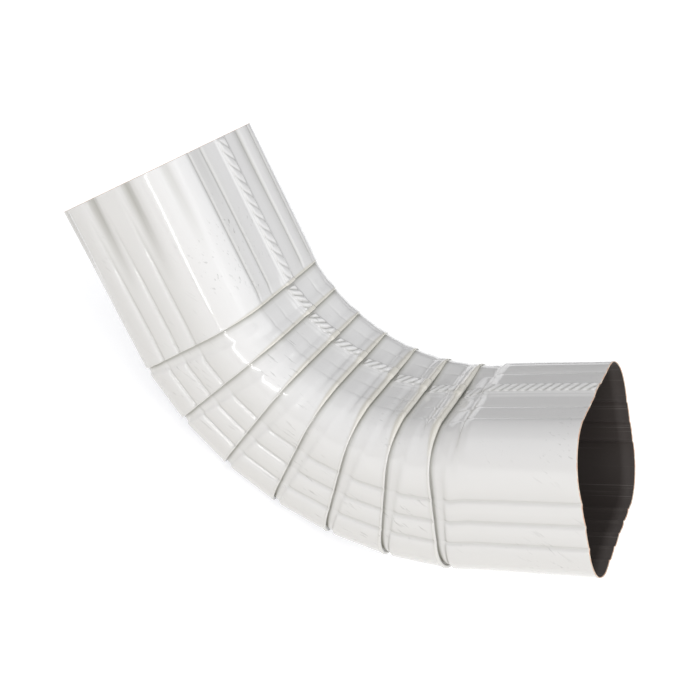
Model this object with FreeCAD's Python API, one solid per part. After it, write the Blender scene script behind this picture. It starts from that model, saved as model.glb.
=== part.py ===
import FreeCAD, Part
import math
import os

# A rectangular downspout elbow folded from one coated sheet: a fluted tube, closed along the
# throat by a flattened lock seam, and bent by seven Z-folded pleats.
#
# The heel is the outer side of the bend and the throat is the inner side. A height is measured
# from the heel towards the throat, and a run is measured round the cross-section, from the
# middle of the heel.
#
# Frame: +Z up, the bend lies in the XZ plane and its axis is along Y. The elbow stands on its
# heel, with the plain end towards +X and the crimped end towards -X. The origin is under the
# middle of the elbow, on the surface that carries it.

# Driving dimensions, in millimetres and degrees
SIZES = [
    ("face_width", 108.0, "width of the heel and throat faces, along the bend's axis"),
    ("section_height", 82.5, "from the heel face to the throat face"),
    ("corner_radius", 24.5, "radius of the four long corners"),
    ("wall", 0.5, "thickness of the coated sheet"),
    ("bend_angle", 75.0, "turn from one leg to the other"),
    ("pleats", 7, "number of folds that share the turn"),
    ("heel_pitch", 34.4, "distance from fold to fold along the heel"),
    ("plain_leg", 80.0, "from the last fold to the plain end, at the heel"),
    ("crimped_leg", 92.5, "from the first fold to the crimped end, at the heel"),
    ("flute_pitch", 12.0, "spacing of the flutes across a face"),
    ("flute_width", 3.4, "width of a flute's groove"),
    ("flute_depth", 1.2, "depth of a flute's groove"),
    ("heel_flutes", 5, "flutes across the heel face"),
    ("side_flutes", 3, "flutes on each side face"),
    ("side_flute_start", 26.4, "height of the lowest side flute"),
    ("throat_flutes", 2, "flutes on each side of the seam"),
    ("throat_flute_start", 19.0, "from the seam's middle to the first throat flute"),
    ("panel_step", 8.0, "longest straight run between two flutes or round a corner"),
    ("crimp_pitch", 23.4, "spacing of the crimps in the end that enters the next pipe"),
    ("crimp_start", 32.5, "height of the lowest side crimp"),
    ("crimp_depth", 2.2, "depth of a crimp at the very end"),
    ("crimp_length", 60.0, "length over which the crimps fade out"),
    ("seam_offset", 2.0, "distance of the lock seam from the middle of the throat"),
    ("seam_width", 8.6, "width of the flattened lock seam"),
    ("seam_slope", 0.9, "width of the step on each side of the seam"),
    ("seam_rise", 1.2, "how far the folded seam stands above the sheet"),
    ("fold_gap", 0.2, "clearance between the pressed layers of a pleat"),
    ("overlap_heel", 0.8, "length of a pleat's overlap at the heel"),
    ("overlap_throat", 6.5, "length of a pleat's overlap at the throat"),
    ("dip_heel", 2.1, "depth of the tucked sheet at the heel"),
    ("dip_side", 2.4, "depth of the tucked sheet on the sides"),
    ("dip_throat", 3.8, "depth of the tucked sheet at the throat"),
    ("lip_rise", 0.3, "how far a pleat's lip stands above the face"),
    ("joggle_heel", 5.2, "length over which the tucked sheet comes back up, at the heel"),
    ("joggle_throat", 10.0, "length over which the tucked sheet comes back up, at the throat"),
]


def fill_sheet(doc):
    """Write the driving dimensions into the document's spreadsheet and return it."""
    sheet = doc.addObject("Spreadsheet::Sheet", "Sizes")
    for row, (name, value, meaning) in enumerate(SIZES, start=1):
        sheet.set("A%d" % row, name)
        sheet.set("B%d" % row, str(value))
        sheet.set("C%d" % row, meaning)
        sheet.setAlias("B%d" % row, name)
    doc.recompute()
    return sheet


def ease(low, high, value):
    """Rise smoothly from 0 at low to 1 at high."""
    share = min(1.0, max(0.0, (value - low) / (high - low)))
    return share * share * (3.0 - 2.0 * share)


class Section:
    """The tube's cross-section: a rounded rectangle with flutes and the seam's flat strip."""

    def __init__(self, size):
        self.size = size
        radius = size.corner_radius
        self.half_flat = size.face_width / 2.0 - radius
        self.side_flat = size.section_height - 2.0 * radius
        self.corner_run = radius * math.pi / 2.0
        self.side_start = self.half_flat + self.corner_run
        self.throat_corner = self.side_start + self.side_flat
        self.throat_start = self.throat_corner + self.corner_run
        self.middle = self.throat_start + self.half_flat
        self.length = 2.0 * self.middle
        self.seam = self.middle - size.seam_offset
        self.knots = self.lay_out()

    def outline(self, run):
        """Point (y, height) and outward normal (y, height) of the plain rounded rectangle."""
        size = self.size
        radius = size.corner_radius
        run = run % self.length
        side = 1.0
        if run > self.middle:
            run = self.length - run
            side = -1.0
        if run <= self.half_flat:
            turn, y, height = 0.0, run, 0.0
        elif run <= self.side_start:
            turn = (run - self.half_flat) / radius
            y = self.half_flat + radius * math.sin(turn)
            height = radius - radius * math.cos(turn)
        elif run <= self.throat_corner:
            turn = math.pi / 2.0
            y, height = size.face_width / 2.0, radius + run - self.side_start
        elif run <= self.throat_start:
            turn = math.pi / 2.0 + (run - self.throat_corner) / radius
            y = self.half_flat + radius * math.sin(turn)
            height = size.section_height - radius - radius * math.cos(turn)
        else:
            turn, y, height = math.pi, self.middle - run, size.section_height
        return side * y, height, side * math.sin(turn), -math.cos(turn)

    def flutes(self):
        """Runs of the middles of all flutes, in order."""
        size = self.size
        middles = []
        for place in range(int(size.heel_flutes)):
            middles.append((place - (size.heel_flutes - 1) / 2.0) * size.flute_pitch)
        for place in range(int(size.side_flutes)):
            height = size.side_flute_start + place * size.flute_pitch
            run = self.side_start + height - size.corner_radius
            middles += [run, -run]
        for place in range(int(size.throat_flutes)):
            reach = size.throat_flute_start + place * size.flute_pitch
            middles += [self.seam + reach, self.seam - reach]
        return sorted(middle % self.length for middle in middles)

    def lay_out(self):
        """Knots of the outline: (run, share of the flute's depth, share of the seam's rise)."""
        size = self.size
        marks = []
        for middle in self.flutes():
            half = size.flute_width / 2.0
            marks += [(middle - half, 0.0, 0.0), (middle, 1.0, 0.0), (middle + half, 0.0, 0.0)]
        half = size.seam_width / 2.0
        foot = half + size.seam_slope
        marks += [(self.seam - foot, 0.0, 0.0), (self.seam - half, 0.0, 1.0)]
        marks += [(self.seam + half, 0.0, 1.0), (self.seam + foot, 0.0, 0.0)]
        marks = sorted((run % self.length, flute, rise) for run, flute, rise in marks)
        knots = []
        for here, after in zip(marks, marks[1:] + marks[:1]):
            knots.append(here)
            gap = (after[0] - here[0]) % self.length
            on_panel = here[1] + here[2] + after[1] + after[2] == 0.0
            steps = max(1, round(gap / size.panel_step)) if on_panel else 1
            for step in range(1, steps):
                knots.append((here[0] + gap * step / steps, 0.0, 0.0))
        return knots

    def crimp(self, run):
        """Share of the crimp's depth: even waves round the section, alike on both sides."""
        size = self.size
        run = run % self.length
        reach = min(run, self.length - run)
        first = self.side_start + size.crimp_start - size.corner_radius
        pitch = self.middle / round(self.middle / size.crimp_pitch)
        return 0.5 + 0.5 * math.cos(2.0 * math.pi * (reach - first) / pitch)


class Elbow:
    """The folded sheet as rings of points, from the crimped end to the plain end and back."""

    def __init__(self, size):
        self.size = size
        self.section = Section(size)
        self.pleats = int(size.pleats)
        self.fold_turn = size.bend_angle / self.pleats
        self.half_wall = size.wall / 2.0
        self.layer = size.wall + size.fold_gap

    def between(self, heel_value, throat_value, height):
        """Value that goes evenly from the heel to the throat."""
        return heel_value + (throat_value - heel_value) * height / self.size.section_height

    def overlap(self, height):
        """Length of a pleat's overlap."""
        return self.between(self.size.overlap_heel, self.size.overlap_throat, height)

    def joggle(self, height):
        """Length over which the tucked sheet comes back up, from the pleat's lip."""
        return self.between(self.size.joggle_heel, self.size.joggle_throat, height)

    def dip(self, height):
        """Depth of the tucked sheet: it grows round the heel's and the throat's corners."""
        size = self.size
        heel_share = ease(0.0, size.corner_radius, height)
        throat_share = ease(size.section_height - size.corner_radius, size.section_height, height)
        side = size.dip_heel + (size.dip_side - size.dip_heel) * heel_share
        return side + (size.dip_throat - size.dip_side) * throat_share

    def fold_ring(self, along, level, seam_share):
        """Ring near a fold's plane, in that plane's frame.

        along and level give the distance from the plane and the level of the skin over the
        section's outline, each from the height.
        """
        size = self.size
        points = []
        for run, flute, rise in self.section.knots:
            y, height, out_y, out_up = self.section.outline(run)
            lift = level(height) - flute * size.flute_depth + rise * seam_share * size.seam_rise
            points.append(FreeCAD.Vector(along(height), y + out_y * lift, height + out_up * lift))
        return points

    def leg_ring(self, along, level, crimp_share, seam_share):
        """Ring square to a leg, in the leg's frame: crimps replace the flutes by crimp_share."""
        size = self.size
        points = []
        for run, flute, rise in self.section.knots:
            y, height, out_y, out_up = self.section.outline(run)
            lift = level - (1.0 - crimp_share) * flute * size.flute_depth
            lift -= crimp_share * (1.0 - rise) * self.section.crimp(run) * size.crimp_depth
            lift += rise * seam_share * size.seam_rise
            points.append(FreeCAD.Vector(along, y + out_y * lift, height + out_up * lift))
        return points

    def outer_fold(self):
        """Outer skin of one pleat: the lip's top and bottom, the tuck, the joggle's end."""
        half, layer, rise = self.half_wall, self.layer, self.size.lip_rise
        return [
            self.fold_ring(lambda height: half, lambda height: half + rise, 1.0),
            self.fold_ring(lambda height: half, lambda height: -layer - half, 0.0),
            self.fold_ring(lambda height: half - self.overlap(height),
                           lambda height: layer / 2.0 - self.dip(height), 0.0),
            self.fold_ring(self.joggle, lambda height: half, 1.0),
        ]

    def inner_fold(self):
        """Inner skin of one pleat: inside the lip, the tuck's top and bottom, the joggle's end."""
        half, layer = self.half_wall, self.layer
        return [
            self.fold_ring(lambda height: -half, lambda height: -layer / 2.0, 0.0),
            self.fold_ring(lambda height: -half - self.overlap(height),
                           lambda height: layer + half - self.dip(height), 0.0),
            self.fold_ring(lambda height: -half - self.overlap(height),
                           lambda height: -half - self.dip(height), 0.0),
            self.fold_ring(self.joggle, lambda height: -half, 0.0),
        ]

    def along_facet(self, facet):
        """Unit vector up the heel's facet, away from the plain leg; facet 0 is the plain leg."""
        turn = math.radians(facet * self.fold_turn)
        return FreeCAD.Vector(-math.cos(turn), 0.0, math.sin(turn))

    def heel_point(self, pleat):
        """Heel end of a pleat's fold line; pleat 0 is beside the plain leg."""
        point = FreeCAD.Vector(0.0, 0.0, 0.0)
        for facet in range(1, pleat + 1):
            point += self.along_facet(facet) * self.size.heel_pitch
        return point

    def carried(self, ring, pleat, turn):
        """Ring turned about the bend's axis and carried to a pleat's heel point."""
        rotation = FreeCAD.Rotation(FreeCAD.Vector(0.0, 1.0, 0.0), turn)
        origin = self.heel_point(pleat)
        return [origin + rotation.multVec(point) for point in ring]

    def skin(self, fold, level, seam_share):
        """Rings of one skin, from the crimped end to the plain end."""
        size = self.size
        first = self.pleats - 1
        crimped_end = self.leg_ring(-size.crimped_leg, level, 1.0, seam_share)
        crimps_out = self.leg_ring(size.crimp_length - size.crimped_leg, level, 0.0, seam_share)
        rings = [self.carried(ring, first, size.bend_angle) for ring in (crimped_end, crimps_out)]
        for pleat in range(first, -1, -1):
            turn = (pleat + 0.5) * self.fold_turn
            rings += [self.carried(ring, pleat, turn) for ring in fold]
        return rings + [self.leg_ring(size.plain_leg, level, 0.0, seam_share)]

    def rings(self):
        """Rings of the closed wall: along its outer skin and back along its inner skin."""
        outer = self.skin(self.outer_fold(), self.half_wall, 1.0)
        inner = self.skin(self.inner_fold(), -self.half_wall, 0.0)
        return outer + inner[::-1]

    def rest_facet(self, centre):
        """Heel facet that carries the elbow: the centre of mass stands nearest its middle."""
        half_pitch = self.size.heel_pitch / 2.0

        def offset(facet):
            foot = (centre - self.heel_point(facet - 1)).dot(self.along_facet(facet))
            return abs(foot - half_pitch)

        return min(range(1, self.pleats), key=offset)

    def resting_placement(self, centre, rings):
        """Placement that lays the rest facet on the ground, with the box centred over the origin."""
        turn = -self.rest_facet(centre) * self.fold_turn
        rotation = FreeCAD.Rotation(FreeCAD.Vector(0.0, 1.0, 0.0), turn)
        turned = [rotation.multVec(point) for ring in rings for point in ring]
        middles = []
        for values in ([point.x for point in turned], [point.y for point in turned]):
            middles.append((min(values) + max(values)) / 2.0)
        ground = min(point.z for point in turned)
        return FreeCAD.Placement(FreeCAD.Vector(-middles[0], -middles[1], -ground), rotation)


def add_elbow(doc, size):
    """Loft the folded wall through its rings and stand it on its heel."""
    elbow = Elbow(size)
    rings = elbow.rings()
    wires = [Part.makePolygon(points + points[:1]) for points in rings]
    solid, ruled, closed = True, True, True
    wall = doc.addObject("Part::Feature", "FoldedWall")
    wall.Label = "elbow"
    wall.Shape = Part.makeLoft(wires, solid, ruled, closed)
    wall.Placement = elbow.resting_placement(wall.Shape.CenterOfMass, rings)
    return wall


def check(doc, sub_parts):
    """Stop if an object failed or a sub-part has no sound solid."""
    for item in doc.Objects:
        if "Invalid" in item.State or "Error" in item.State:
            raise RuntimeError("%s failed: %s" % (item.Name, item.State))
    for part in sub_parts:
        if part.Shape.isNull() or not part.Shape.isValid():
            raise RuntimeError("%s has no sound shape" % part.Label)


def main():
    """Build, check and write the part."""
    os.makedirs("parts", exist_ok=True)
    doc = FreeCAD.newDocument("DownspoutElbow")
    size = fill_sheet(doc)
    sub_parts = [add_elbow(doc, size)]
    doc.recompute()
    check(doc, sub_parts)
    for part in sub_parts:
        part.Shape.exportStep("parts/%s.step" % part.Label)
        box = part.Shape.BoundBox
        print(part.Label, part.Shape.ShapeType, len(part.Shape.Faces), "volume", part.Shape.Volume)
        print("box", box.XMin, box.YMin, box.ZMin, box.XMax, box.YMax, box.ZMax)
        print("centre of mass", part.Shape.CenterOfMass)


main()
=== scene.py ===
import logging
from dataclasses import dataclass
from enum import Enum
from typing import Any

import bpy
import numpy as np
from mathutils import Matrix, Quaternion, Vector


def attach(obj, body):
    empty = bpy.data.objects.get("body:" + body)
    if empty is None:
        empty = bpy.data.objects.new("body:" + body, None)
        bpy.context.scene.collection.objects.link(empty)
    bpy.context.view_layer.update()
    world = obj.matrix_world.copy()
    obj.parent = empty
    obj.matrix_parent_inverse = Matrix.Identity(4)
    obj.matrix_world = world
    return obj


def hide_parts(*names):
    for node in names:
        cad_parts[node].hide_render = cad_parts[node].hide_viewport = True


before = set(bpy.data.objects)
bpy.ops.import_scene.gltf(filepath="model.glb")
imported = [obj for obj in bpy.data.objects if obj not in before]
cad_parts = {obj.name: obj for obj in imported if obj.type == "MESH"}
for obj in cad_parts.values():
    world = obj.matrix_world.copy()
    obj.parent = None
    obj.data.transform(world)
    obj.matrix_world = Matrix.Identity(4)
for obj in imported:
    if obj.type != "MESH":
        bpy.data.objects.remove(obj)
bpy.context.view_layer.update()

# A rectangular downspout elbow folded from one coated sheet. All sizes are in millimetres in the
# part's frame, and become metres when a mesh is written. The heel is the outer side of the bend,
# the throat the inner side; a height runs from heel to throat, a run round the cross-section from
# the middle of the heel, and "along" down the tube from the crimped end to the plain end. A level
# is a distance outward from the sheet's middle.

LOG = logging.getLogger("elbow")
MM = 0.001
Array = np.ndarray
Numbers = tuple[float, ...]
Socket = bpy.types.NodeSocket


@dataclass(frozen=True)
class Sheet:
    """Sizes of the folded sheet, in millimetres and degrees."""

    face_width: float = 108.0
    section_height: float = 82.5
    corner_radius: float = 24.5
    wall: float = 0.5
    bend_angle: float = 75.0
    pleats: int = 7
    heel_pitch: float = 34.4
    plain_leg: float = 80.0
    crimped_leg: float = 92.5
    rest_facet: int = 4
    base_x: float = 107.3764
    base_z: float = 37.9994

    @property
    def skin(self) -> float:
        """Level of the outer skin; the inner skin's is minus that."""
        return self.wall / 2.0


@dataclass(frozen=True)
class Relief:
    """Sizes of what is rolled and pressed into the sheet, in millimetres or as shares."""

    # Flutes: a sharp core, a long foot towards the throat and a short step towards the heel.
    flute_pitch: float = 12.0
    flute_core: float = 0.9
    flute_foot: float = 4.6
    flute_step: float = 1.5
    flute_depth: float = 1.15
    heel_flutes: int = 5
    side_flutes: int = 3
    side_flute_start: float = 26.4
    throat_flutes: int = 2
    throat_flute_start: float = 19.0
    # What the flutes and crimps lose on the throat, which starts at a share of the height.
    throat_from: float = 0.86
    throat_soften: float = 0.55
    throat_soften_plain: float = 0.8
    throat_crimp_loss: float = 0.75
    # Crimped end.
    crimp_pitch: float = 23.4
    crimp_start: float = 32.5
    crimp_depth: float = 2.4
    crimp_length: float = 60.0
    end_slant: float = 1.8
    end_reach: float = 0.9
    # Lock seam and the smooth ledge beside it.
    seam_offset: float = 2.0
    seam_width: float = 8.6
    seam_rise: float = 0.9
    seam_crimped_share: float = 0.55
    ledge_offset: float = 6.2
    ledge_width: float = 1.6
    ledge_rise: float = 0.45
    # Size of a pleat's lip: on the sides, what it gains and what it loses.
    lip_side: float = 0.52
    lip_throat: float = 0.48
    lip_crown: float = 0.25
    lip_heel: float = 0.22
    lip_far_loss: float = 0.7
    lip_pleat_loss: float = 0.58
    # How far a pleat laps over the next panel, how deep that panel dips, and over what length.
    overlap_heel: float = 0.8
    overlap_throat: float = 6.5
    dip_heel: float = 2.1
    dip_side: float = 2.4
    dip_throat: float = 2.8
    dip_near_corner: float = 1.8
    dip_far_corner: float = 0.75
    dip_least: float = 0.75
    dip_pleat_loss: float = 0.3
    dip_joggle: float = -0.85
    joggle_heel: float = 5.2
    joggle_throat: float = 13.0
    # Hand-worked unevenness: amplitude, waves round the section, length down the tube, phase.
    ripple: float = 0.22
    waves: tuple[Numbers, ...] = (
        (0.35, 3.0, 31.0, 0.6), (0.3, 5.0, -23.0, 2.1),
        (0.2, 8.0, 13.0, 4.4), (0.15, 2.0, 9.0, 1.3))


@dataclass(frozen=True)
class Spacing:
    """Spacing of the wall's points round the section and down the legs, in millimetres."""

    even: float = 2.3
    flute: Numbers = (-2.8, -1.8, -1.15, -0.7, -0.35, 0.0, 0.35, 0.7, 1.15, 1.8, 2.8)
    flute_clear: float = 3.6
    seam: tuple[float, float] = (-7.0, 10.0)
    seam_columns: int = 26
    seam_clear: float = 9.6
    crimped_end: Numbers = (0.4, 1.3)
    crimped_from: float = 3.5
    crimped_to: float = 66.0
    crimped_rings: int = 25
    crimped_last: Numbers = (70.0, 74.0, 78.0)
    inner_rings: int = 12
    plain_from: float = 22.0
    plain_to: float = 4.0
    plain_rings: int = 13
    plain_end: Numbers = (1.6, 0.7)
    inner_plain_rings: int = 8
    inner_end: float = 0.4
    panel_rings: int = 3


class Skin(Enum):
    """Sides of the sheet; the value is the material's place on the mesh."""

    OUTSIDE = 0
    INSIDE = 1
    CUT_EDGE = 2


@dataclass(frozen=True)
class FoldLine:
    """One line of a pleat's profile, the same all round the section.

    The distance from the fold's plane is along + overlap x the pleat's overlap + joggle x the
    joggle's length. The level is level + dip x the depth of the tuck; on the throat the tuck
    eases out evenly over the joggle instead. The seam and the flutes show on it by their shares,
    and its crease and lip shares are how much painted shade and how much cream go into its colour.
    """

    along: float
    level: float
    overlap: float = 0.0
    joggle: float = 0.0
    dip: float = 0.0
    seam: float = 1.0
    flute: float = 1.0
    crease_shade: float = 0.0
    lip: float = 0.0

    @property
    def rolled(self) -> bool:
        """Whether the line lies on the rolled lip, and so grows and shrinks with it."""
        outside = self.level > 0.0 or self.lip > 0.0 or self.crease_shade > 0.0
        return outside and self.joggle == 0.0 and self.dip > -0.5


# The crease shares paint shade into the folds beside each lip, where the lip's shadow falls.
OUTER_FOLD = (
    FoldLine(-4.2, 0.25),
    FoldLine(-2.6, 0.26, lip=0.05),
    FoldLine(-1.9, 0.34, lip=0.3),
    FoldLine(-1.35, 0.56, flute=0.9, lip=0.8),
    FoldLine(-0.8, 0.84, flute=0.75, lip=1.0),
    FoldLine(-0.2, 0.98, flute=0.7, lip=1.0),
    FoldLine(0.4, 0.86, flute=0.7, lip=1.0),
    FoldLine(0.85, 0.5, flute=0.7, lip=1.0),
    FoldLine(1.05, 0.02, flute=0.6, lip=1.0),
    FoldLine(1.0, -0.5, dip=-0.12, seam=0.6, flute=0.5, crease_shade=0.3, lip=0.8),
    FoldLine(0.8, -0.7, dip=-0.2, seam=0.2, flute=0.4, crease_shade=1.0, lip=0.3),
    FoldLine(0.45, -0.85, dip=-0.2, seam=0.0, flute=0.3, crease_shade=1.0),
    FoldLine(0.1, -0.1, overlap=-0.5, dip=-0.95, seam=0.0, flute=0.9, crease_shade=1.0),
    FoldLine(1.0, 0.3, dip=-0.85, seam=0.1, flute=0.1, crease_shade=0.9),
    FoldLine(1.2, 0.27, joggle=0.07, dip=-0.8, seam=0.3, flute=0.15, crease_shade=0.4),
    FoldLine(1.2, 0.25, joggle=0.2, dip=-0.76, seam=0.45, flute=0.2, crease_shade=0.08),
    FoldLine(0.9, 0.25, joggle=0.38, dip=-0.7, seam=0.6, flute=0.3, crease_shade=0.03),
    FoldLine(0.6, 0.25, joggle=0.52, dip=-0.6, seam=0.75, flute=0.5),
    FoldLine(0.4, 0.25, joggle=0.63, dip=-0.4, seam=0.85, flute=0.75),
    FoldLine(0.2, 0.25, joggle=0.73, dip=-0.16, seam=0.95, flute=0.9),
    FoldLine(0.1, 0.25, joggle=0.84, dip=-0.03),
    FoldLine(0.0, 0.25, joggle=1.02),
)
INNER_FOLD = (
    FoldLine(-2.0, -0.25, seam=0.0),
    FoldLine(-0.3, -0.25, seam=0.0),
    FoldLine(-0.25, -0.35, seam=0.0),
    FoldLine(-0.3, -0.15, overlap=-1.0, dip=-1.0, seam=0.0),
    FoldLine(-0.3, -0.6, overlap=-1.0, dip=-1.0, seam=0.0),
    FoldLine(1.2, -0.25, dip=-0.95, seam=0.0, flute=0.2),
    FoldLine(1.2, -0.25, joggle=0.2, dip=-0.86, seam=0.0, flute=0.3),
    FoldLine(1.0, -0.25, joggle=0.38, dip=-0.8, seam=0.0, flute=0.4),
    FoldLine(0.7, -0.25, joggle=0.52, dip=-0.7, seam=0.0, flute=0.6),
    FoldLine(0.5, -0.25, joggle=0.63, dip=-0.48, seam=0.0, flute=0.85),
    FoldLine(0.3, -0.25, joggle=0.73, dip=-0.23, seam=0.0),
    FoldLine(0.1, -0.25, joggle=0.84, dip=-0.06, seam=0.0),
    FoldLine(0.0, -0.25, joggle=1.02, seam=0.0),
)


def ease(low: float, high: float, value: Array) -> Array:
    """Rise smoothly from 0 at low to 1 at high: s x s x (3 - 2 s), with s the clamped share."""
    share = np.clip((value - low) / (high - low), 0.0, 1.0)
    return share * share * (3.0 - 2.0 * share)


@dataclass
class CrossSection:
    """The rounded rectangle with its flutes, crimps and seam, as numpy arrays over the runs."""

    sheet: Sheet
    relief: Relief
    spacing: Spacing = Spacing()

    def __post_init__(self) -> None:
        """Work out the runs at which the faces, corners, seam and flutes begin."""
        sheet = self.sheet
        corner_run = sheet.corner_radius * np.pi / 2.0
        self.half_flat = sheet.face_width / 2.0 - sheet.corner_radius
        self.side_start = self.half_flat + corner_run
        self.throat_corner = self.side_start + sheet.section_height - 2.0 * sheet.corner_radius
        self.throat_start = self.throat_corner + corner_run
        self.middle = self.throat_start + self.half_flat
        self.length = 2.0 * self.middle
        self.seam = self.middle - self.relief.seam_offset
        self.flute_runs = self.place_flutes()
        self.crimp_first = self.side_start + self.relief.crimp_start - sheet.corner_radius
        self.crimp_pitch = self.middle / np.round(self.middle / self.relief.crimp_pitch)

    def place_flutes(self) -> Array:
        """Space the flutes evenly on the heel, on both sides and on both halves of the throat.

        Returns:
            The runs of all the flutes' middles, in order.
        """
        relief = self.relief
        heel = (np.arange(relief.heel_flutes) - (relief.heel_flutes - 1) / 2.0) * relief.flute_pitch
        heights = relief.side_flute_start + np.arange(relief.side_flutes) * relief.flute_pitch
        side = self.side_start + heights - self.sheet.corner_radius
        reach = relief.throat_flute_start + np.arange(relief.throat_flutes) * relief.flute_pitch
        runs = np.concatenate([heel, side, -side, self.seam + reach, self.seam - reach])
        return np.sort(runs % self.length)

    def lay_runs(self) -> Array:
        """Space the mesh's columns: even steps, finer over the flutes and the seam.

        Returns:
            The runs of the columns, in order.
        """
        spacing = self.spacing
        even = np.arange(0.0, self.length, spacing.even)
        fine = np.array(spacing.flute)
        flutes = (self.flute_runs[:, None] + fine[None, :]).ravel() % self.length
        seam = self.seam + np.linspace(*spacing.seam, spacing.seam_columns)
        gap = self.distance(even[:, None], self.flute_runs[None, :]).min(axis=1)
        seam_middle = self.seam + sum(spacing.seam) / 2.0
        beside_seam = self.distance(even, seam_middle) > spacing.seam_clear
        keep = (gap > spacing.flute_clear) & beside_seam
        return np.sort(np.concatenate([even[keep], flutes, seam]))

    def distance(self, run: Array, other: Array) -> Array:
        """Give the shorter way round from one run to another, as abs of the wrapped difference."""
        half = self.length / 2.0
        return np.abs((run - other + half) % self.length - half)

    def outline(self, run: Array) -> tuple[Array, Array, Array, Array]:
        """Follow the plain rounded rectangle.

        The turn of the normal grows evenly round each corner and stays on the faces; the point is
        the corner's centre plus radius x (sin turn, -cos turn), or slides along a face.

        Args:
            run: distances round the section.

        Returns:
            y, height, and the outward normal's y and height.
        """
        radius = self.sheet.corner_radius
        run = run % self.length
        side = np.where(run > self.middle, -1.0, 1.0)
        run = np.where(run > self.middle, self.length - run, run)
        first = np.clip((run - self.half_flat) / radius, 0.0, np.pi / 2.0)
        second = np.clip((run - self.throat_corner) / radius, 0.0, np.pi / 2.0)
        turn = first + second
        on_heel = np.clip(run, 0.0, self.half_flat)
        on_throat = np.clip(run - self.throat_start, 0.0, self.half_flat)
        on_side = np.clip(run - self.side_start, 0.0, self.sheet.section_height - 2.0 * radius)
        y = on_heel - on_throat + radius * np.sin(turn)
        height = radius + on_side - radius * np.cos(turn)
        return side * y, height, side * np.sin(turn), -np.cos(turn)

    def height_share(self, run: Array) -> Array:
        """Give the height as a share of the way from the heel to the throat."""
        return self.outline(run)[1] / self.sheet.section_height

    def flutes(self, run: Array) -> Array:
        """Share of a flute's depth: a sharp groove, with a long foot on the side to the throat.

        The groove is exp(-(d / core)^2) and the foot exp(-(d / foot)^2), where the foot's width
        is flute_foot above the groove and flute_step below it.

        Args:
            run: distances round the section.

        Returns:
            Shares from 0 to 1.
        """
        relief = self.relief
        half = self.length / 2.0
        gaps = (run[:, None] - self.flute_runs[None, :] + half) % self.length - half
        nearest = np.abs(gaps).argmin(axis=1)
        gap = gaps[np.arange(len(run)), nearest]
        upward = np.where(run % self.length > self.middle, -1.0, 1.0) * gap
        width = np.where(upward > 0.0, relief.flute_foot, relief.flute_step)
        core = np.exp(-((gap / relief.flute_core) ** 2))
        return 0.55 * core + 0.45 * np.exp(-((gap / width) ** 2))

    def crimp(self, run: Array) -> Array:
        """Share of a crimp's depth: (0.5 + 0.5 cos)^4 waves, alike on both sides."""
        reach = np.minimum(run % self.length, self.length - run % self.length) - self.crimp_first
        return (0.5 + 0.5 * np.cos(2.0 * np.pi * reach / self.crimp_pitch)) ** 4

    def seam_share(self, run: Array) -> Array:
        """Share of the lock seam's rise: flat over its width, easing off over two millimetres."""
        half = self.relief.seam_width / 2.0
        return 1.0 - ease(half - 0.4, half + 1.6, self.distance(run, self.seam))

    def ledge_share(self, run: Array) -> Array:
        """Share of the ledge's rise, exp(-(d / width)^2) about its middle."""
        gap = self.distance(run, self.seam + self.relief.ledge_offset)
        return np.exp(-((gap / self.relief.ledge_width) ** 2))


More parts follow.
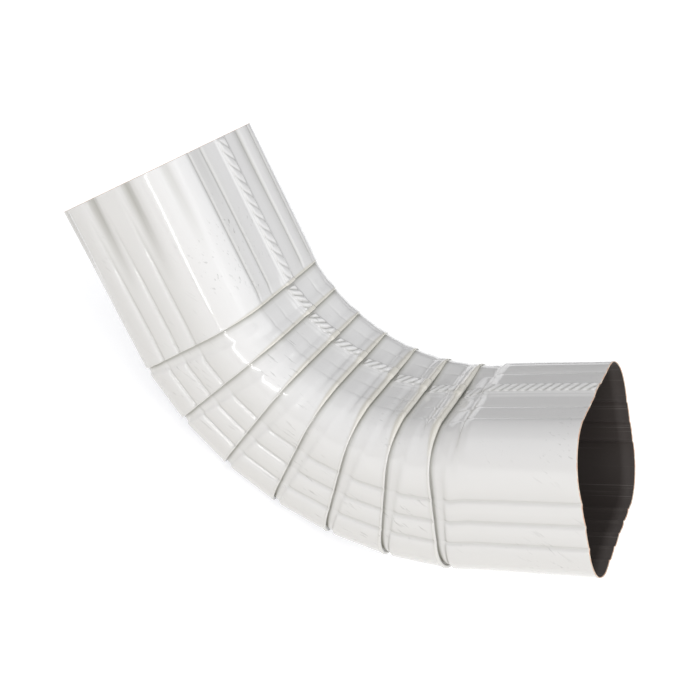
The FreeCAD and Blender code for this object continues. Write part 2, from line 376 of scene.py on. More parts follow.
@dataclass
class FoldedTube:
    """The elbow's outer and inner skins as rings of points over any set of runs."""

    sheet: Sheet
    relief: Relief

    def __post_init__(self) -> None:
        """Set up the cross-section, the turn of one pleat, and the turn and place at rest."""
        self.section = CrossSection(self.sheet, self.relief)
        self.fold_turn = np.radians(self.sheet.bend_angle / self.sheet.pleats)
        self.rest_turn = -self.sheet.rest_facet * self.fold_turn
        self.base = np.array([self.sheet.base_x, 0.0, self.sheet.base_z])

    def heel_point(self, pleat: int) -> Array:
        """Give a fold's point on the heel: the facets' steps (-cos, 0, sin) x pitch, added up."""
        turns = np.arange(1, pleat + 1) * self.fold_turn
        return np.array([-np.cos(turns).sum(), 0.0, np.sin(turns).sum()]) * self.sheet.heel_pitch

    def carry(self, points: Array, pleat: int, turn: float) -> Array:
        """Carry points from a frame at a fold's heel, turned about +Y, into the part's frame."""
        at_fold = self.about_y(points, turn) + self.heel_point(pleat)
        return self.about_y(at_fold, self.rest_turn) + self.base

    @staticmethod
    def about_y(points: Array, turn: float) -> Array:
        """Turn points about +Y: x' = x cos + z sin, z' = z cos - x sin."""
        cos, sin = np.cos(turn), np.sin(turn)
        return points @ np.array([[cos, 0.0, sin], [0.0, 1.0, 0.0], [-sin, 0.0, cos]]).T

    def ripple(self, run: Array, station: float) -> Array:
        """Give the sheet's slight unevenness as a displacement, a sum of slow sine waves."""
        turn = 2.0 * np.pi * run / self.section.length
        return self.relief.ripple * sum(size * np.sin(count * turn + station / length + phase)
                                        for size, count, length, phase in self.relief.waves)

    def bead(self, y: Array, height: Array, pleat: int) -> Array:
        """Size of a pleat's rolled lip, as a share of its profile.

        It is full at the throat, thin on the upper sides, fuller again towards the heel, smaller
        on the far throat corner, and grows from the crimped leg to the plain one.

        Args:
            y: place across the tube.
            height: place from heel to throat.
            pleat: the fold, 0 beside the plain leg.

        Returns:
            The shares.
        """
        relief = self.relief
        share = height / self.sheet.section_height
        size = relief.lip_side + relief.lip_throat * ease(0.84, 1.0, share)
        size = size + relief.lip_heel * (1.0 - ease(0.1, 0.55, share))
        size = size + relief.lip_crown * ease(0.93, 1.0, share)
        far = ease(20.0, 42.0, y) * ease(0.6, 0.9, share)
        loss = relief.lip_pleat_loss * pleat / (self.sheet.pleats - 1.0)
        return size * (1.0 - relief.lip_far_loss * far) * (1.0 - loss)

    def tuck_depth(self, y: Array, height: Array, pleat: int) -> Array:
        """Depth by which the panel dips under a pleat's lip.

        It changes from the heel's depth to the side's and the throat's, is shallower round the
        throat's two corners, and shrinks towards the crimped leg.

        Args:
            y: place across the tube.
            height: place from heel to throat.
            pleat: the fold, 0 beside the plain leg.

        Returns:
            The depths.
        """
        relief, sheet = self.relief, self.sheet
        radius = sheet.corner_radius
        low = relief.dip_heel + (relief.dip_side - relief.dip_heel) * ease(0.0, radius, height)
        high = ease(sheet.section_height - radius, sheet.section_height, height)
        corner = ease(0.0, 1.0, 4.0 * high * (1.0 - high))
        dip = low + (relief.dip_throat - relief.dip_side) * high
        shallow = np.where(y > 0.0, relief.dip_far_corner, relief.dip_near_corner)
        dip = dip + (shallow - dip) * corner
        far = ease(10.0, 34.0, y) * ease(0.7, 0.95, height / sheet.section_height)
        dip = dip + (relief.dip_far_corner - dip) * far
        loss = relief.dip_pleat_loss * pleat / (sheet.pleats - 1.0)
        return np.maximum(dip * (1.0 - loss), relief.dip_least)

    def fold_ring(self, run: Array, line: FoldLine, pleat: int) -> Array:
        """Lay one line of a pleat's profile round the section.

        Args:
            run: distances round the section.
            line: the line of the profile.
            pleat: the fold, 0 beside the plain leg.

        Returns:
            Points in the part's frame.
        """
        relief, sheet, section = self.relief, self.sheet, self.section
        y, height, out_y, out_up = section.outline(run)
        share = height / sheet.section_height
        overlap = relief.overlap_heel + (relief.overlap_throat - relief.overlap_heel) * share
        joggle = relief.joggle_heel + (relief.joggle_throat - relief.joggle_heel) * share
        size = self.bead(y, height, pleat) if line.rolled else np.ones_like(y)
        bulge = line.lip * section.seam_share(run)
        along = line.along * size * (1.0 + 0.5 * bulge)
        along = along + line.overlap * overlap + line.joggle * joggle
        plain = sheet.skin if line.rolled else line.level
        smooth = relief.dip_joggle * (1.0 - ease(0.0, 1.0, np.full_like(y, line.joggle)))
        high = ease(sheet.section_height - sheet.corner_radius, sheet.section_height, height)
        throat = high if line.joggle > 0.0 else np.zeros_like(y)
        tuck = line.dip + (smooth - line.dip) * throat
        lift = plain + (line.level - plain) * size + 0.25 * bulge
        lift += tuck * self.tuck_depth(y, height, pleat)
        soft = 1.0 - relief.throat_soften_plain * ease(relief.throat_from, 1.0, share)
        lift -= line.flute * soft * section.flutes(run) * relief.flute_depth
        lift += line.seam * relief.seam_rise * section.seam_share(run)
        lift += line.seam * relief.ledge_rise * section.ledge_share(run)
        lift += self.ripple(run, pleat * sheet.heel_pitch)
        points = np.stack([along, y + out_y * lift, height + out_up * lift], axis=-1)
        return self.carry(points, pleat, (pleat + 0.5) * self.fold_turn)

    def fold_marks(self, run: Array, line: FoldLine) -> Array:
        """Give one fold line's lip cream and painted crease and valley shade round the section.

        Args:
            run: distances round the section.
            line: the line of the profile.

        Returns:
            Three rows of shares.
        """
        height = self.section.height_share(run)
        throat = ease(0.8, 1.0, height)
        heel = 1.0 - ease(0.0, 0.4, height)
        # Painted shade in the crease under the lip, fuller towards the heel and the throat; painted
        # shade in the flute valleys, weaker on the throat.
        crease_shade = line.crease_shade * (0.55 + 0.25 * throat + 0.45 * heel)
        lip = line.lip * (0.2 + 0.8 * throat)
        valley_shade = line.flute * (1.0 - 0.65 * throat) * self.section.flutes(run)
        return np.stack([crease_shade, lip, valley_shade])

    def crimped_share(self, along: float) -> float:
        """Give how fully the crimps are pressed at a place on the crimped leg, 1 at its end."""
        reach = np.array(along + self.sheet.crimped_leg)
        return float(1.0 - ease(0.0, self.relief.crimp_length, reach))

    def leg_ring(self, run: Array, along: float, level: float, crimped: bool) -> Array:
        """Lay one ring square to a leg.

        Args:
            run: distances round the section.
            along: distance from the leg's fold, towards the plain end.
            level: level of the skin.
            crimped: whether it is the crimped leg.

        Returns:
            Points in the part's frame.
        """
        relief, sheet, section = self.relief, self.sheet, self.section
        y, height, out_y, out_up = section.outline(run)
        first = sheet.pleats - 1
        share = self.crimped_share(along) if crimped else 0.0
        seam = section.seam_share(run)
        on_throat = ease(relief.throat_from, 1.0, height / sheet.section_height)
        soften = relief.throat_soften if crimped else relief.throat_soften_plain
        flute_share = 1.0 - share * (1.0 - on_throat) - soften * on_throat
        crimp_share = share * (1.0 - seam) * (1.0 - relief.throat_crimp_loss * on_throat)
        lift = level - flute_share * section.flutes(run) * relief.flute_depth
        lift -= crimp_share * section.crimp(run) * relief.crimp_depth
        if level > 0.0 and crimped:
            lift += relief.seam_crimped_share * relief.seam_rise * seam
        elif level > 0.0:
            lift += relief.seam_rise * seam + relief.ledge_rise * section.ledge_share(run)
        lift += self.ripple(run, first * sheet.heel_pitch - along if crimped else -along)
        slant = share * (relief.end_slant * y / sheet.face_width - relief.end_reach)
        points = np.stack([along + slant, y + out_y * lift, height + out_up * lift], axis=-1)
        if crimped:
            return self.carry(points, first, np.radians(sheet.bend_angle))
        return self.carry(points, 0, 0.0)

    def leg_marks(self, run: Array, along: float, crimped: bool) -> Array:
        """Give one leg ring's lip cream and painted crease and valley shade.

        Args:
            run: distances round the section.
            along: distance from the leg's fold, towards the plain end.
            crimped: whether it is the crimped leg.

        Returns:
            Three rows of shares.
        """
        relief = self.relief
        on_throat = ease(relief.throat_from, 1.0, self.section.height_share(run))
        # Painted shade in the flute valleys, stronger on the crimped leg's throat and weaker on the
        # plain leg's; on the crimped leg also in the crimp valleys.
        valley_shade = self.section.flutes(run) * (1.0 + (0.9 if crimped else -0.6) * on_throat)
        if crimped:
            share = self.crimped_share(along)
            crimps = self.section.crimp(run) ** 2 * (1.0 - relief.throat_crimp_loss * on_throat)
            valley_shade = valley_shade * (1.0 - share * (1.0 - on_throat)) + 3.6 * share * crimps
        return np.stack([np.zeros_like(run), np.zeros_like(run), valley_shade])

    @staticmethod
    def between(ring: Array, after: Array, count: int) -> list[Array]:
        """Give count rings evenly between two rings, neither included."""
        shares = np.arange(1, count + 1) / (count + 1.0)
        return [ring + (after - ring) * share for share in shares]

    def outer_skin(self, run: Array) -> tuple[Array, Array]:
        """Lay the outer skin from the crimped end to the plain end.

        Args:
            run: distances round the section.

        Returns:
            Rings of points, and for each ring its lip cream and painted crease and valley shade.
        """
        sheet, spacing = self.sheet, self.section.spacing
        rings, marks = [], []
        crimps = np.linspace(spacing.crimped_from, spacing.crimped_to, spacing.crimped_rings)
        reach = np.concatenate([spacing.crimped_end, crimps, spacing.crimped_last])
        for place in reach - sheet.crimped_leg:
            rings.append(self.leg_ring(run, float(place), sheet.skin, True))
            marks.append(self.leg_marks(run, float(place), True))
        for pleat in range(sheet.pleats - 1, -1, -1):
            if pleat < sheet.pleats - 1:
                first = self.fold_ring(run, OUTER_FOLD[0], pleat)
                panel = self.between(rings[-1], first, spacing.panel_rings)
                rings += panel
                marks += [self.fold_marks(run, OUTER_FOLD[0])] * len(panel)
            for line in OUTER_FOLD:
                rings.append(self.fold_ring(run, line, pleat))
                marks.append(self.fold_marks(run, line))
        last = sheet.plain_leg - np.array(spacing.plain_end)
        plain_to = sheet.plain_leg - spacing.plain_to
        plain = np.linspace(spacing.plain_from, plain_to, spacing.plain_rings)
        for number, place in enumerate(np.concatenate([plain, last])):
            ring = self.leg_ring(run, float(place), sheet.skin, False)
            steps = self.between(rings[-1], ring, spacing.panel_rings) if number == 0 else []
            for step in steps + [ring]:
                rings.append(step)
                marks.append(self.leg_marks(run, float(place), False))
        return np.array(rings), np.array(marks)

    def inner_skin(self, run: Array) -> Array:
        """Lay the inner skin from the crimped end to the plain end.

        Args:
            run: distances round the section.

        Returns:
            Rings of points.
        """
        sheet, spacing = self.sheet, self.section.spacing
        crimped = np.linspace(spacing.inner_end, spacing.crimped_to, spacing.inner_rings)
        rings = [self.leg_ring(run, float(place), -sheet.skin, True)
                 for place in crimped - sheet.crimped_leg]
        for pleat in range(sheet.pleats - 1, -1, -1):
            rings += [self.fold_ring(run, line, pleat) for line in INNER_FOLD]
        plain_to = sheet.plain_leg - spacing.inner_end
        plain = np.linspace(spacing.plain_from, plain_to, spacing.inner_plain_rings)
        rings += [self.leg_ring(run, float(place), -sheet.skin, False) for place in plain]
        return np.array(rings)

    def edge_rings(self, run: Array, crimped: bool) -> Array:
        """Lay the cut edge at one end: its outer arris, two rings on its face, its inner arris.

        Args:
            run: distances round the section.
            crimped: whether it is the crimped end.

        Returns:
            Rings of points, in the order in which the wall's section turns.
        """
        end = -self.sheet.crimped_leg if crimped else self.sheet.plain_leg
        inward = 0.2 if crimped else -0.45
        outer = self.leg_ring(run, end + inward, 0.2, crimped)
        face_out = self.leg_ring(run, end, 0.1, crimped)
        skin_shift = self.leg_ring(run, end, 0.2, crimped) - face_out
        rings = [outer, face_out, face_out - 2.0 * skin_shift, outer - 4.0 * skin_shift]
        return np.array(rings[::-1] if crimped else rings)


class PieceMesh:
    """Writes closed grids of points as meshes."""

    @staticmethod
    def quads(rows: int, columns: int, close_rows: bool) -> Array:
        """Number the quads of a grid whose columns close on themselves.

        Args:
            rows: number of rings.
            columns: points in each ring.
            close_rows: whether the last ring joins the first.

        Returns:
            Vertex numbers, four to a quad.
        """
        row = np.arange(rows if close_rows else rows - 1)
        here, across = np.meshgrid(row, np.arange(columns), indexing="ij")
        after = (here + 1) % rows
        beside = (across + 1) % columns
        corners = [here * columns + across, here * columns + beside]
        corners += [after * columns + beside, after * columns + across]
        return np.stack(corners, axis=-1).reshape(-1, 4)

    @staticmethod
    def outward(points: Array, faces: Array) -> Array:
        """Give a closed shell's quads, turned over if they enclose a negative volume."""
        a, b, c, d = points[faces.T]
        return faces if (a * (np.cross(b, c) + np.cross(c, d))).sum() > 0.0 else faces[:, ::-1]

    @staticmethod
    def write(name: str, points: Array, faces: Array, caps: list[list[int]],
              slots: Array, values: dict[str, Array]) -> bpy.types.Object:
        """Write a mesh object with smooth faces, material places and point attributes.

        Args:
            name: name of the piece.
            points: points in millimetres.
            faces: quads.
            caps: polygons that close open ends.
            slots: material place of each quad.
            values: point attributes by name.

        Returns:
            The new object.
        """
        mesh = bpy.data.meshes.new(name)
        mesh.from_pydata((points * MM).tolist(), [], faces.tolist() + caps)
        count = len(mesh.polygons)
        places = np.zeros(count, dtype=np.int32)
        places[:len(slots)] = slots
        mesh.polygons.foreach_set("material_index", places)
        mesh.polygons.foreach_set("use_smooth", np.ones(count, dtype=bool))
        for label, data in values.items():
            attribute = mesh.attributes.new(label, "FLOAT", "POINT")
            attribute.data.foreach_set("value", data.astype(np.float32))
        mesh.update()
        piece = bpy.data.objects.new(name, mesh)
        bpy.context.scene.collection.objects.link(piece)
        return piece


@dataclass(frozen=True)
class Wiring:
    """Adds nodes to one shader tree and feeds their inputs."""

    tree: bpy.types.NodeTree

    def feed(self, socket: Socket, value: Any) -> None:
        """Link an input to the output that feeds it, or set its plain value.

        Args:
            socket: the input.
            value: an output socket, a number, a colour or a vector.
        """
        if isinstance(value, Socket):
            self.tree.links.new(value, socket)
        else:
            socket.default_value = value

    def add(self, kind: str, inputs: dict[str | int, Any] | None = None,
            **settings: Any) -> bpy.types.Node:
        """Add a node.

        Args:
            kind: the node's type without "ShaderNode".
            inputs: what feeds its inputs, by name or number.
            **settings: its own settings.

        Returns:
            The node.
        """
        node = self.tree.nodes.new("ShaderNode" + kind)
        for label, value in settings.items():
            setattr(node, label, value)
        for label, value in (inputs or {}).items():
            self.feed(node.inputs[label], value)
        return node

    def math(self, operation: str, first: Any, second: Any) -> Socket:
        """Join two values by an operation such as MULTIPLY."""
        return self.add("Math", {0: first, 1: second}, operation=operation).outputs[0]

    def spread(self, value: Any, low: Any, high: Any, to_low: float = 0.0,
               to_high: float = 1.0) -> Socket:
        """Map a value from the range low to high onto to_low to to_high, clamped."""
        return self.add("MapRange", {"Value": value, "From Min": low, "From Max": high,
                                     "To Min": to_low, "To Max": to_high}).outputs["Result"]

    def mix(self, share: Any, first: Any, second: Any) -> Socket:
        """Mix two colours by a mask; the node's colour inputs are its numbers 6 and 7."""
        return self.add("Mix", {0: share, 6: first, 7: second}, data_type="RGBA").outputs[2]

    def attribute(self, name: str) -> Socket:
        """Read a point attribute's value."""
        return self.add("Attribute", attribute_name=name).outputs["Fac"]


class NodeGroups:
    """Shared shader effects, each a node group that puts out a mask."""

    @staticmethod
    def start(name: str, inputs: dict[str, float]) -> tuple[
            bpy.types.NodeTree, bpy.types.NodeOutputs, Socket]:
        """Make an empty group with float inputs and the output Mask.

        Args:
            name: the group's name.
            inputs: input names with their defaults.

        Returns:
            The group, the sockets that give its inputs, and the socket that takes its mask.
        """
        group = bpy.data.node_groups.new(name, "ShaderNodeTree")
        for label, value in inputs.items():
            group.interface.new_socket(
                label, in_out="INPUT", socket_type="NodeSocketFloat").default_value = value
        group.interface.new_socket("Mask", in_out="OUTPUT", socket_type="NodeSocketFloat")
        given, result = group.nodes.new("NodeGroupInput"), group.nodes.new("NodeGroupOutput")
        return group, given.outputs, result.inputs["Mask"]

    @classmethod
    def scuffs(cls) -> bpy.types.NodeTree:
        """Make short fine scratches along the tube and a few specks, gathered in patches.

        Returns:
            The group.
        """
        group, given, mask = cls.start(
            "scuffs", {"Patch scale": 24.0, "Mark scale": 620.0, "Amount": 0.5})
        wiring = Wiring(group)
        place = wiring.add("TexCoord").outputs["Object"]
        stretched = wiring.add("Mapping", {"Vector": place, "Scale": (0.16, 1.0, 1.0),
                                           "Rotation": (0.0, 0.75, 0.0)}).outputs["Vector"]
        marks = wiring.add("TexNoise", {"Vector": stretched, "Scale": given["Mark scale"],
                                        "Detail": 3.0}).outputs["Fac"]
        patches = wiring.add("TexNoise", {"Vector": place, "Scale": given["Patch scale"],
                                          "Detail": 2.0}).outputs["Fac"]
        both = wiring.math("MULTIPLY", wiring.spread(marks, 0.62, 0.72),
                           wiring.spread(patches, 0.49, 0.66))
        wiring.feed(mask, wiring.math("MULTIPLY", both, given["Amount"]))
        return group

    @classmethod
    def streaks(cls) -> bpy.types.NodeTree:
        """Make long soft streaks that run down the tube, from the run and along attributes.

        Returns:
            The group.
        """
        group, given, mask = cls.start("streaks", {"Scale": 1.0, "Low": 0.4, "High": 0.7})
        wiring = Wiring(group)
        slow = wiring.math("MULTIPLY", wiring.attribute("along"), 0.05)
        place = wiring.add("CombineXYZ", {"X": wiring.attribute("run"), "Y": slow})
        noise = wiring.add("TexNoise", {"Vector": place.outputs["Vector"],
                                        "Scale": given["Scale"], "Detail": 4.0}).outputs["Fac"]
        wiring.feed(mask, wiring.spread(noise, given["Low"], given["High"]))
        return group


@dataclass(frozen=True)
class Gloss:
    """Finish of the coated outside."""

    white: Numbers = (0.82, 0.815, 0.805, 1.0)
    cream: Numbers = (0.80, 0.775, 0.70, 1.0)
    # Painted shade: a dark olive that darkens the creases under the lips, the flute and crimp
    # valleys and the seam's grooves.
    painted_shade: Numbers = (0.27, 0.265, 0.21, 1.0)
    scuff: Numbers = (0.36, 0.36, 0.34, 1.0)
    # How strongly the valleys take that painted shade.
    valley_shade_amount: float = 0.17
    roughness: float = 0.18
    coat: float = 0.6
    coat_roughness: float = 0.03


@dataclass(frozen=True)
class Streaked:
    """Finish of two colours, the second along the streaks from low to high."""

    name: str
    base: Numbers
    streak: Numbers
    roughness: float
    specular: float
    scale: float
    low: float
    high: float


BACKING = Streaked("dark_brown_backing", (0.052, 0.043, 0.039, 1.0), (0.15, 0.135, 0.127, 1.0),
                   0.6, 0.25, 1.4, 0.61, 0.76)
BARE_EDGE = Streaked("cut_sheet_edge", (0.72, 0.47, 0.33, 1.0), (0.8, 0.72, 0.6, 1.0),
                     0.45, 0.5, 0.3, 0.4, 0.7)


class Finishes:
    """Builds the elbow's materials from their finishes."""

    def __init__(self) -> None:
        """Make the shared groups."""
        self.scuffs = NodeGroups.scuffs()
        self.streaks = NodeGroups.streaks()

    @staticmethod
    def start(name: str, roughness: float) -> tuple[
            bpy.types.Material, Wiring, bpy.types.NodeInputs]:
        """Make a material with a plain shader.

        Args:
            name: the material's name.
            roughness: the shader's roughness.

        Returns:
            The material, the wiring of its tree and its shader's inputs.
        """
        material = bpy.data.materials.new(name)
        material.use_nodes = True
        inputs = material.node_tree.nodes["Principled BSDF"].inputs
        inputs["Roughness"].default_value = roughness
        return material, Wiring(material.node_tree), inputs

    def gloss(self, finish: Gloss) -> bpy.types.Material:
        """Build the coated outside: white, lip cream, painted shade in creases and valleys, scuffs.

        Args:
            finish: its colours and gloss.

        Returns:
            The material.
        """
        material, wiring, shader = self.start("gloss_white_coating", finish.roughness)
        shader["Coat Weight"].default_value = finish.coat
        shader["Coat Roughness"].default_value = finish.coat_roughness
        scuffs = wiring.add("Group", node_tree=self.scuffs).outputs["Mask"]
        # Painted shade: the valley share darkens the flute and crimp valleys and the seam's
        # grooves.
        valley_shade_amount = wiring.math("MULTIPLY", wiring.attribute("valley_shade"), finish.valley_shade_amount)
        colour = wiring.mix(wiring.attribute("lip"), finish.white, finish.cream)
        colour = wiring.mix(scuffs, colour, finish.scuff)
        colour = wiring.mix(valley_shade_amount, colour, finish.painted_shade)
        # Painted shade in the creases under the lips.
        colour = wiring.mix(wiring.attribute("crease_shade"), colour, finish.painted_shade)
        wiring.feed(shader["Base Color"], colour)
        return material

    def streaked(self, finish: Streaked) -> bpy.types.Material:
        """Build the dark inside, with its fine scratches, or the cut edge, with its uneven tone.

        Args:
            finish: its colours, gloss and streaks.

        Returns:
            The material.
        """
        material, wiring, shader = self.start(finish.name, finish.roughness)
        shader["Specular IOR Level"].default_value = finish.specular
        shape = {"Scale": finish.scale, "Low": finish.low, "High": finish.high}
        streaks = wiring.add("Group", shape, node_tree=self.streaks).outputs["Mask"]
        wiring.feed(shader["Base Color"], wiring.mix(streaks, finish.base, finish.streak))
        return material


@dataclass
class WallPiece:
    """The folded wall: outer skin, cut edges and inner skin in one closed mesh."""

    tube: FoldedTube
    materials: tuple[bpy.types.Material, ...]
    name: str = "elbow_wall"

    def build(self) -> bpy.types.Object:
        """Close the skins and edges into one loop of rings and write it.

        Returns:
            The piece.
        """
        run = self.tube.section.lay_runs()
        outer, marks = self.tube.outer_skin(run)
        inner = self.tube.inner_skin(run)
        plain = self.tube.edge_rings(run, False)
        crimped = self.tube.edge_rings(run, True)
        rings = np.concatenate([outer, plain, inner[::-1], crimped])
        rows, columns = rings.shape[0], rings.shape[1]
        plain_edge = len(outer)
        inside = plain_edge + len(plain) - 1
        crimped_edge = inside + 1 + len(inner)
        place = np.full(rows, Skin.OUTSIDE.value)
        place[plain_edge:inside] = Skin.CUT_EDGE.value
        place[inside:crimped_edge] = Skin.INSIDE.value
        place[crimped_edge:rows - 1] = Skin.CUT_EDGE.value
        points = rings.reshape(-1, 3)
        faces = PieceMesh.outward(points, PieceMesh.quads(rows, columns, True))
        shares = np.zeros((rows, 3, columns))
        shares[:plain_edge] = marks
        # The outer skin carries its lip cream and its painted crease and valley shade as point
        # attributes.
        values = dict(zip(("crease_shade", "lip", "valley_shade"), shares.transpose(1, 0, 2).reshape(3, -1)))
        values |= {"run": np.tile(run, rows), "along": np.repeat(np.arange(float(rows)), columns)}
        piece = PieceMesh.write(self.name, points, faces, [], np.repeat(place, columns), values)
        for material in self.materials:
            piece.data.materials.append(material)
        return piece


@dataclass(frozen=True)
class Strands:
    """Spacing and height of the seam's slanted strands, and the power that narrows them."""

    pitch: float
    height: float
    sharp: float


@dataclass
class SeamPiece:
    """The lock seam's rope-like knurl: closed strips laid on the outer skin between the pleats."""

    tube: FoldedTube
    material: bpy.types.Material
    name: str = "elbow_seam"
    crimped_leg: Strands = Strands(pitch=7.2, height=0.85, sharp=0.35)
    bend: Strands = Strands(pitch=4.5, height=1.15, sharp=0.9)
    columns: int = 13
    step: float = 0.36
    margin: float = 0.2
    lift: float = 0.06
    sink: float = 0.3
    root: float = 0.4
    end_fade: float = 1.2

    @staticmethod
    def knurl(along: Array, across: Array, strands: Strands) -> Array:
        """Share of the strands' height: ridges |cos(pi phase)|^sharp, fading as 1 - across^6."""
        phase = along / strands.pitch - 0.45 * across - 0.3 * across ** 3
        return np.abs(np.cos(np.pi * phase)) ** strands.sharp * (1.0 - across ** 6)

    def strip(self, rings: Array, across: Array,
              strands: Strands) -> tuple[Array, Array]:
        """Resample one stretch of the seam finely and raise the knurl on it.

        Args:
            rings: the outer skin's points at the seam's columns, ring by ring.
            across: the columns' places over the seam's width.
            strands: the shape of the knurl.

        Returns:
            Rings of a closed strip, the knurled top and the underside in the wall, and the share
            of painted shade in the grooves at each point.
        """
        middle = rings[:, rings.shape[1] // 2]
        reach = np.concatenate([[0.0], np.cumsum(np.linalg.norm(np.diff(middle, axis=0), axis=1))])
        even = np.linspace(0.0, reach[-1], max(4, int(reach[-1] / self.step)))
        place = np.clip(np.searchsorted(reach, even, side="right") - 1, 0, len(reach) - 2)
        share = (even - reach[place]) / (reach[place + 1] - reach[place])
        fine = rings[place] + (rings[place + 1] - rings[place]) * share[:, None, None]
        normal = np.cross(np.gradient(fine, axis=1), np.gradient(fine, axis=0))
        normal /= np.linalg.norm(normal, axis=-1, keepdims=True)
        normal *= np.sign(normal[..., 2:].sum())
        ends = np.minimum(1.0, np.minimum(even, even[-1] - even) / self.end_fade)[:, None]
        knurl = self.knurl(even[:, None], across[None, :], strands)
        sink = self.sink * across[None, :] ** 8
        top = fine + normal * (strands.height * knurl * ends + self.lift - sink)[..., None]
        under = fine - normal * self.root
        # Painted shade in the grooves between the strands, strongest where the knurl is low; it is
        # returned as depth.
        groove_shade = 3.0 * np.clip(1.0 - 1.25 * knurl, 0.0, 1.0) * (np.abs(across) < 0.9)
        depth = np.concatenate([groove_shade, np.zeros_like(groove_shade)], axis=1)
        return np.concatenate([top, under[:, ::-1]], axis=1), depth

    @staticmethod
    def stretches(marks: Array) -> list[tuple[int, int]]:
        """Find the stretches that lie open between the lips.

        Args:
            marks: the outer skin's shares, ring by ring.

        Returns:
            First and last ring of each: the first joggle of a fold and the next one's second line.
        """
        lips = marks[:, 1].max(axis=1)
        folds = np.flatnonzero((lips[1:] > 0.0) & (lips[:-1] == 0.0))
        joggle = [line.joggle > 0.0 for line in OUTER_FOLD].index(True)
        starts = [0] + [int(fold) + joggle for fold in folds]
        ends = [int(fold) + 2 for fold in folds] + [len(marks) - 1]
        return list(zip(starts, ends))

    def build(self) -> bpy.types.Object:
        """Write all the strips as one piece of closed shells.

        Returns:
            The piece.
        """
        section = self.tube.section
        across = np.linspace(-1.0, 1.0, self.columns)
        half = self.tube.relief.seam_width / 2.0 - self.margin
        rings, marks = self.tube.outer_skin(section.seam - across * half)
        points, faces, caps, groove_shades, base = [], [], [], [], 0
        for start, end in self.stretches(marks):
            strands = self.crimped_leg if start == 0 else self.bend
            strip, depth = self.strip(rings[start:end + 1], across, strands)
            rows, columns = strip.shape[0], strip.shape[1]
            flat = strip.reshape(-1, 3)
            laid = PieceMesh.quads(rows, columns, False)
            quads = PieceMesh.outward(flat - flat.mean(axis=0), laid)
            ring = np.arange(columns)
            near, far = (ring[::-1], ring) if quads is laid else (ring, ring[::-1])
            points.append(flat)
            faces.append(quads + base)
            groove_shades.append(depth.ravel())
            caps += [(near + base).tolist(), (far + (rows - 1) * columns + base).tolist()]
            base += len(flat)
        cloud, quads = np.concatenate(points), np.concatenate(faces)
        values = dict.fromkeys(("crease_shade", "lip", "valley_shade", "run", "along"), np.zeros(len(cloud)))
        # The painted shade in the seam's grooves goes in as the valley share.
        values["valley_shade"] = np.concatenate(groove_shades)
        piece = PieceMesh.write(self.name, cloud, quads, caps, np.zeros(len(quads), int), values)
        piece.data.materials.append(self.material)
        return piece


@dataclass(frozen=True)
class Viewpoint:
    """The camera as fitted to the photograph's viewing angle, in metres and degrees."""

    eye: Numbers = (0.04859, -0.49881, 0.42791)
    direction: Numbers = (-0.1308, 0.83196, -0.53921)
    roll: float = 32.04
    lens: float = 58.188
    sensor: float = 36.0
    shift: tuple[float, float] = (0.03154, -0.08336)
    clip_start: float = 0.01


@dataclass(frozen=True)
class Softbox:
    """One soft area light, aimed at a point; metres, watts and degrees."""

    name: str
    place: Numbers
    width: float
    height: float
    power: float
    colour: Numbers
    roll: float = 0.0
    aim: Numbers = (0.0, 0.0, 0.08)


SOFTBOXES = (
    Softbox("key_softbox", (0.42, -0.95, 0.7), 1.4, 1.25, 3.0, (1.0, 0.99, 0.975)),
    Softbox("strip_light", (0.03, -1.42, 0.53), 0.08, 0.85, 2.4, (1.0, 1.0, 1.0), 32.0),
    Softbox("top_softbox", (0.95, 0.35, 1.25), 1.9, 1.6, 9.6, (0.98, 0.985, 1.0)),
)


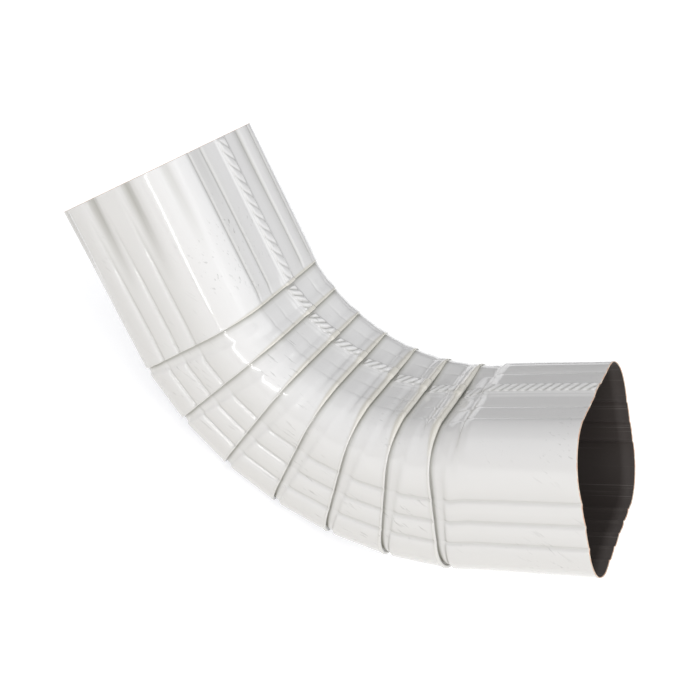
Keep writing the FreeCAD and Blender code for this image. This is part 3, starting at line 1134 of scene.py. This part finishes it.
@dataclass(frozen=True)
class Stage:
    """Floor, surround, lights and camera.

    The surround's three stops give its colour by height. Its level is front where the way out
    points to -Y by at least turn, and back where it points to +Y.
    """

    floor_side: float = 8.0
    floor_colour: Numbers = (0.72, 0.70, 0.645, 1.0)
    floor_white: Numbers = (1.0, 1.025, 1.10, 1.0)
    floor_lift: float = 0.6
    low: tuple[float, Numbers] = (0.02, (0.46, 0.445, 0.44, 1.0))
    middle: tuple[float, Numbers] = (0.3, (0.71, 0.70, 0.725, 1.0))
    high: tuple[float, Numbers] = (0.75, (0.97, 0.98, 1.0, 1.0))
    strength: float = 0.68
    turn: float = -0.07
    front: float = 1.4
    back: float = 0.5

    def floor(self) -> bpy.types.Object:
        """Lay a wide plain floor that shows as white apart from the shadow.

        Returns:
            The floor.
        """
        side = self.floor_side
        mesh = bpy.data.meshes.new("floor")
        corners = [(-side, -side, 0.0), (side, -side, 0.0), (side, side, 0.0), (-side, side, 0.0)]
        mesh.from_pydata(corners, [], [(0, 1, 2, 3)])
        floor = bpy.data.objects.new("floor", mesh)
        bpy.context.scene.collection.objects.link(floor)
        material, wiring, shader = Finishes.start("pale_floor", 0.9)
        shader["Base Color"].default_value = self.floor_colour
        shader["Specular IOR Level"].default_value = 0.1
        shader["Emission Color"].default_value = self.floor_white
        path = wiring.add("LightPath").outputs
        seen = wiring.math("MAXIMUM", path["Is Camera Ray"], path["Is Glossy Ray"])
        seen = wiring.math("MAXIMUM", seen, path["Is Transmission Ray"])
        lift = wiring.math("MULTIPLY", seen, self.floor_lift)
        wiring.feed(shader["Emission Strength"], lift)
        mesh.materials.append(material)
        return floor

    def world(self) -> None:
        """Set the surround: paler overhead, bright in front and dimmer behind the object."""
        world = bpy.data.worlds.new("surround")
        world.use_nodes = True
        wiring = Wiring(world.node_tree)
        way = wiring.add("TexCoord").outputs["Generated"]
        parts = wiring.add("SeparateXYZ", {0: way}).outputs
        ramp = wiring.add("ValToRGB", {"Fac": parts["Z"]})
        stops = ramp.color_ramp.elements
        stops[0].position, stops[0].color = self.low
        stops[1].position, stops[1].color = self.high
        stops.new(self.middle[0]).color = self.middle[1]
        level = wiring.spread(parts["Y"], self.turn, 0.0, self.front, self.back)
        shader = world.node_tree.nodes["Background"].inputs
        wiring.feed(shader["Strength"], wiring.math("MULTIPLY", level, self.strength))
        wiring.feed(shader["Color"], ramp.outputs["Color"])
        bpy.context.scene.world = world

    @staticmethod
    def hang(name: str, data: bpy.types.ID, place: Numbers, way: Vector,
             roll: float) -> bpy.types.Object:
        """Place a lamp or camera so that it looks one way.

        Args:
            name: the object's name.
            data: the lamp or camera.
            place: where it stands.
            way: the direction that it looks in.
            roll: its turn about that direction, in degrees.

        Returns:
            The object.
        """
        holder = bpy.data.objects.new(name, data)
        holder.location = place
        turn = Quaternion((0.0, 0.0, 1.0), float(np.radians(roll)))
        holder.rotation_euler = (way.to_track_quat("-Z", "Y") @ turn).to_euler()
        bpy.context.scene.collection.objects.link(holder)
        return holder

    def light(self, box: Softbox) -> None:
        """Hang one soft area light and aim it.

        Args:
            box: its size, place and power.
        """
        lamp = bpy.data.lights.new(box.name, "AREA")
        lamp.shape = "RECTANGLE"
        lamp.size, lamp.size_y = box.width, box.height
        lamp.energy = box.power
        lamp.color = box.colour
        self.hang(box.name, lamp, box.place, Vector(box.aim) - Vector(box.place), box.roll)

    def camera(self, view: Viewpoint) -> None:
        """Set the camera at the photograph's viewing angle.

        Args:
            view: its place, direction and lens.
        """
        lens = bpy.data.cameras.new("camera")
        lens.sensor_width = view.sensor
        lens.lens = view.lens
        lens.shift_x, lens.shift_y = view.shift
        lens.clip_start = view.clip_start
        holder = self.hang("camera", lens, view.eye, Vector(view.direction), view.roll)
        bpy.context.scene.camera = holder


def main() -> None:
    """Build the elbow's pieces and the stage."""
    logging.basicConfig(level=logging.INFO, format="%(message)s")
    bpy.context.scene.view_settings.view_transform = "Standard"
    finishes = Finishes()
    outside = finishes.gloss(Gloss())
    materials = (outside, finishes.streaked(BACKING), finishes.streaked(BARE_EDGE))
    tube = FoldedTube(Sheet(), Relief())
    for maker in (WallPiece(tube, materials), SeamPiece(tube, outside)):
        piece = maker.build()
        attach(piece, "root")
        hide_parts("elbow")
        LOG.info("%s: %d faces", piece.name, len(piece.data.polygons))
    stage = Stage()
    stage.floor()
    stage.world()
    for box in SOFTBOXES:
        stage.light(box)
    stage.camera(Viewpoint())


if __name__ == "__main__":
    main()
